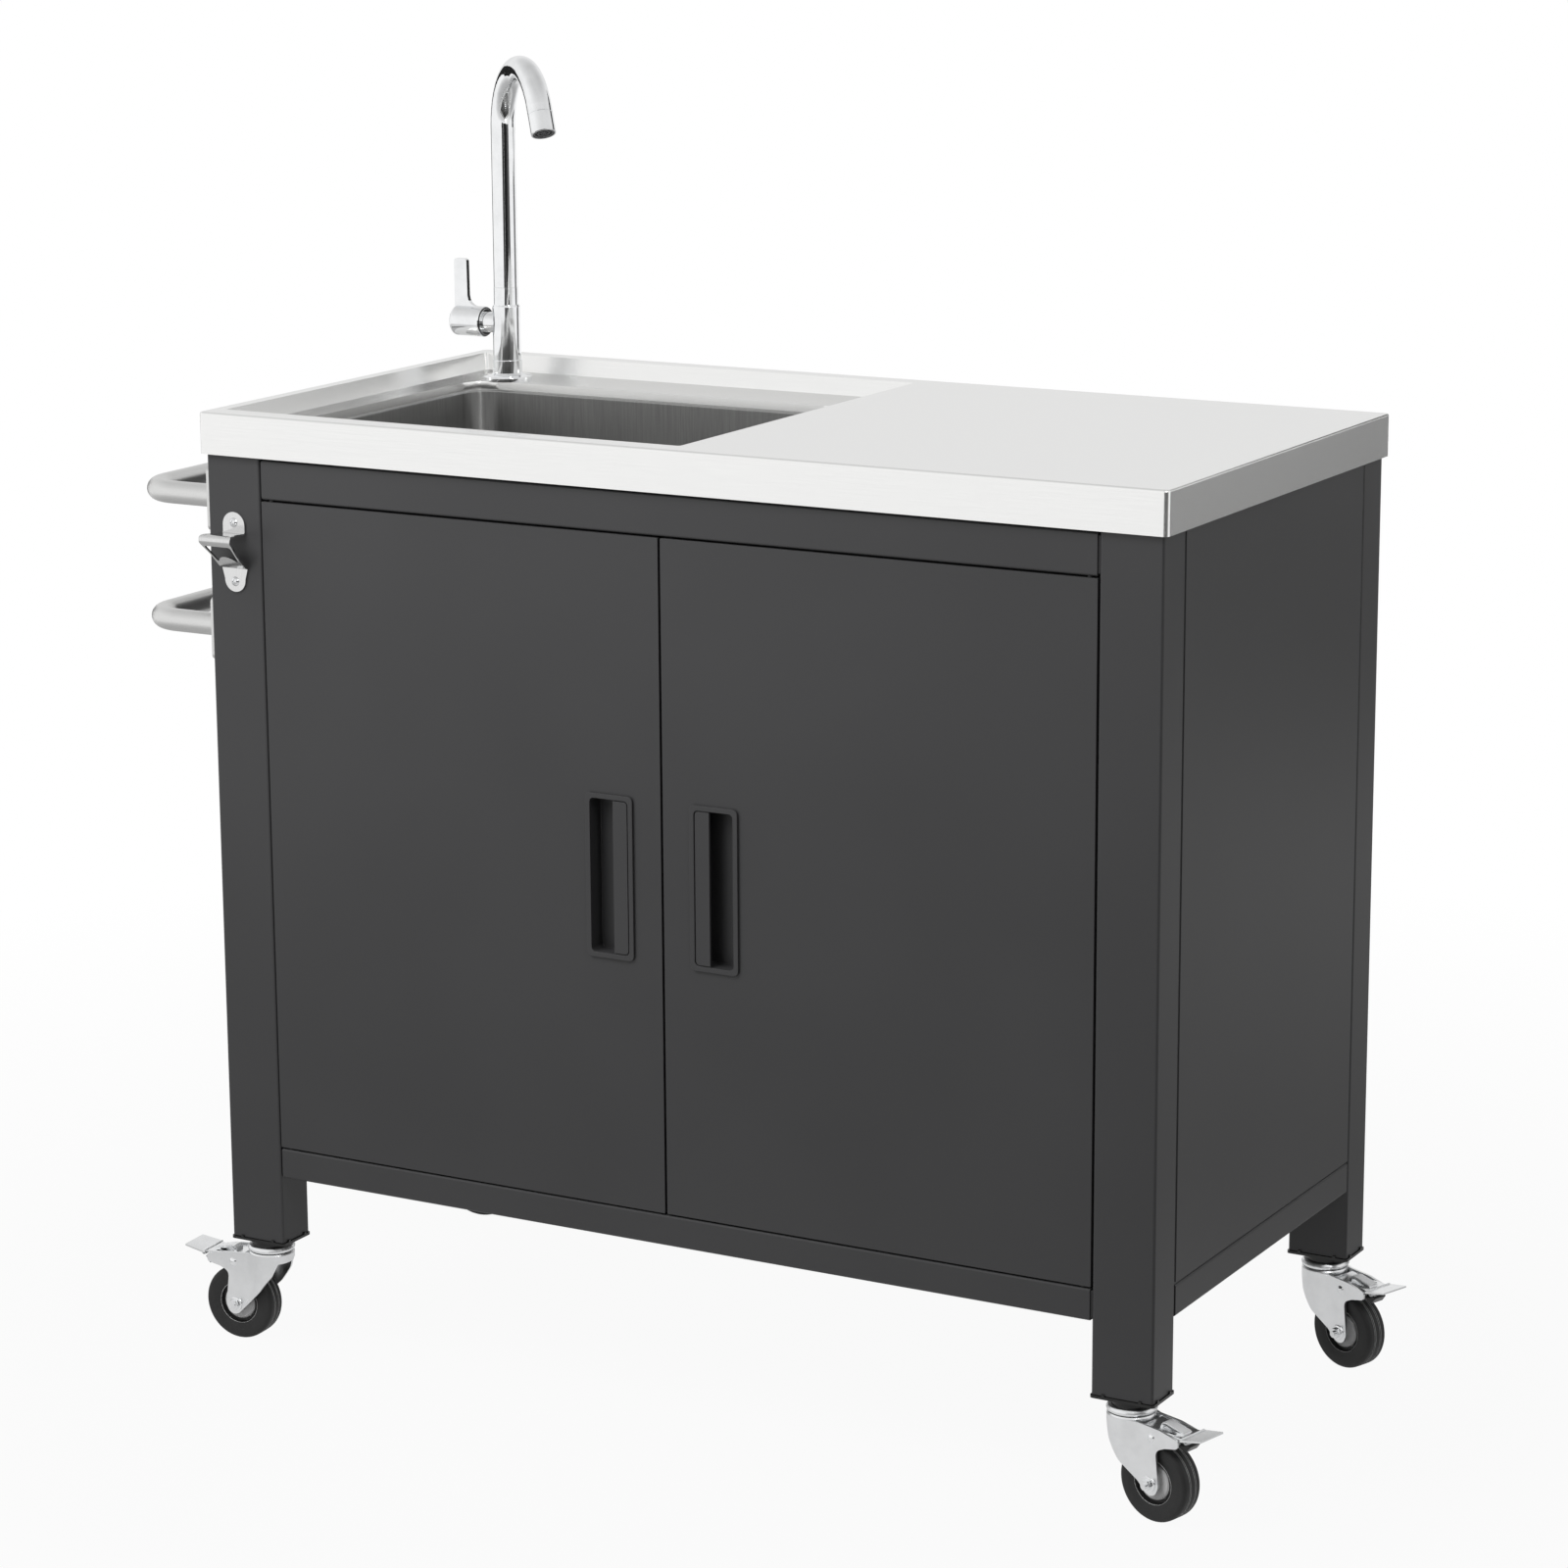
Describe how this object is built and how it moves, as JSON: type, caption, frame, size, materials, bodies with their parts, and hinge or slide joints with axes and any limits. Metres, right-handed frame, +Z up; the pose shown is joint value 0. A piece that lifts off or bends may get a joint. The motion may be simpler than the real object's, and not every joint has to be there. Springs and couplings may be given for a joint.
{
  "type": "portable handwash sink",
  "caption": "Steel cabinet handwash sink on braked swivel casters, with stainless worktop, recessed bowl, gooseneck faucet, towel bars and bottle opener.",
  "frame": {"origin": "on the floor, under the middle of the overall box", "axes": "+X to the right as seen from the doors, +Y towards the back panel, +Z up"},
  "size_m": [1.154, 0.529, 1.2364],
  "materials": {
    "frame_paint": "charcoal powder coat, fine satin texture",
    "stainless": "satin stainless steel",
    "chrome": "polished chrome plate",
    "zinc": "bright zinc plate",
    "black_plastic": "moulded black plastic",
    "rubber": "solid black rubber",
    "hub_plastic": "moulded grey plastic"
  },
  "bodies": {
    "cabinet": {"leg_front_left": "frame_paint", "leg_front_right": "frame_paint", "leg_rear_left": "frame_paint", "leg_rear_right": "frame_paint", "leg_caps": "black_plastic", "rail_front_top": "frame_paint", "rail_front_bottom": "frame_paint", "rail_rear_top": "frame_paint", "rail_rear_bottom": "frame_paint", "side_rail_left": "frame_paint", "side_rail_right": "frame_paint", "side_panel_left": "frame_paint", "side_panel_right": "frame_paint", "back_panel": "frame_paint", "floor_panel": "frame_paint", "worktop": "stainless", "bowl": "stainless", "drain_strainer": "chrome", "drain_locknut": "black_plastic", "drain_tailpiece": "black_plastic", "faucet_body": "chrome", "faucet_shank": "zinc", "lever_seal": "black_plastic", "towel_bar_upper": "stainless", "towel_bar_lower": "stainless", "bar_screws": "stainless", "bottle_opener": "stainless", "opener_screws": "chrome", "door_pivots": "zinc", "door_catches": "black_plastic", "caster_stems": "zinc"},
    "door_l": {"door_left": "frame_paint", "pull_left": "frame_paint"},
    "door_r": {"door_right": "frame_paint", "pull_right": "frame_paint"},
    "spout_body": {"spout": "chrome", "aerator": "chrome"},
    "lever_body": {"lever": "chrome"},
    "swivel_fl": {"fork_fl": "zinc", "pins_fl": "zinc"},
    "wheel_fl": {"tyre_fl": "rubber", "hub_fl": "hub_plastic"},
    "brake_fl": {"pedal_fl": "zinc"},
    "swivel_fr": {"fork_fr": "zinc", "pins_fr": "zinc"},
    "wheel_fr": {"tyre_fr": "rubber", "hub_fr": "hub_plastic"},
    "brake_fr": {"pedal_fr": "zinc"},
    "swivel_rl": {"fork_rl": "zinc", "pins_rl": "zinc"},
    "wheel_rl": {"tyre_rl": "rubber", "hub_rl": "hub_plastic"},
    "brake_rl": {"pedal_rl": "zinc"},
    "swivel_rr": {"fork_rr": "zinc", "pins_rr": "zinc"},
    "wheel_rr": {"tyre_rr": "rubber", "hub_rr": "hub_plastic"},
    "brake_rr": {"pedal_rr": "zinc"}
  },
  "joints": [
    {"name": "door_left_hinge", "type": "hinge", "parent": "cabinet", "child": "door_l", "pos_m": [-0.40354, -0.2255, 0.5], "axis": [0, 0, 1], "range_deg": [-105, 0]},
    {"name": "door_right_hinge", "type": "hinge", "parent": "cabinet", "child": "door_r", "pos_m": [0.44546, -0.2255, 0.5], "axis": [0, 0, 1], "range_deg": [0, 105]},
    {"name": "spout_swivel", "type": "hinge", "parent": "cabinet", "child": "spout_body", "pos_m": [-0.40304, 0.1875, 1.002], "axis": [0, 0, 1], "continuous": true},
    {"name": "lever_turn", "type": "hinge", "parent": "cabinet", "child": "lever_body", "pos_m": [-0.40304, 0.1875, 0.965], "axis": [1, 0, 0], "range_deg": [0, 90]},
    {"name": "caster_swivel_fl", "type": "hinge", "parent": "cabinet", "child": "swivel_fl", "pos_m": [-0.44404, -0.2085, 0.09], "axis": [0, 0, 1], "continuous": true},
    {"name": "wheel_spin_fl", "type": "hinge", "parent": "swivel_fl", "child": "wheel_fl", "pos_m": [-0.47696, -0.2108, 0.037], "axis": [0.0698, -0.9976, 0], "continuous": true},
    {"name": "brake_press_fl", "type": "hinge", "parent": "swivel_fl", "child": "brake_fl", "pos_m": [-0.47895, -0.21094, 0.0807], "axis": [0.0698, -0.9976, 0], "range_deg": [0, 1]},
    {"name": "caster_swivel_fr", "type": "hinge", "parent": "cabinet", "child": "swivel_fr", "pos_m": [0.48596, -0.2085, 0.09], "axis": [0, 0, 1], "continuous": true},
    {"name": "wheel_spin_fr", "type": "hinge", "parent": "swivel_fr", "child": "wheel_fr", "pos_m": [0.51798, -0.21648, 0.037], "axis": [0.2419, 0.9703, 0], "continuous": true},
    {"name": "brake_press_fr", "type": "hinge", "parent": "swivel_fr", "child": "brake_fr", "pos_m": [0.51992, -0.21697, 0.0807], "axis": [0.2419, 0.9703, 0], "range_deg": [0, 1]},
    {"name": "caster_swivel_rl", "type": "hinge", "parent": "cabinet", "child": "swivel_rl", "pos_m": [-0.44404, 0.2375, 0.09], "axis": [0, 0, 1], "continuous": true},
    {"name": "wheel_spin_rl", "type": "hinge", "parent": "swivel_rl", "child": "wheel_rl", "pos_m": [-0.47395, 0.22355, 0.037], "axis": [0.4226, -0.9063, 0], "continuous": true},
    {"name": "brake_press_rl", "type": "hinge", "parent": "swivel_rl", "child": "brake_rl", "pos_m": [-0.47576, 0.22271, 0.0807], "axis": [0.4226, -0.9063, 0], "range_deg": [0, 1]},
    {"name": "caster_swivel_rr", "type": "hinge", "parent": "cabinet", "child": "swivel_rr", "pos_m": [0.48596, 0.2375, 0.09], "axis": [0, 0, 1], "continuous": true},
    {"name": "wheel_spin_rr", "type": "hinge", "parent": "swivel_rr", "child": "wheel_rr", "pos_m": [0.51697, 0.22621, 0.037], "axis": [0.342, 0.9397, 0], "continuous": true},
    {"name": "brake_press_rr", "type": "hinge", "parent": "swivel_rr", "child": "brake_rr", "pos_m": [0.51885, 0.22553, 0.0807], "axis": [0.342, 0.9397, 0], "range_deg": [0, 1]}
  ]
}
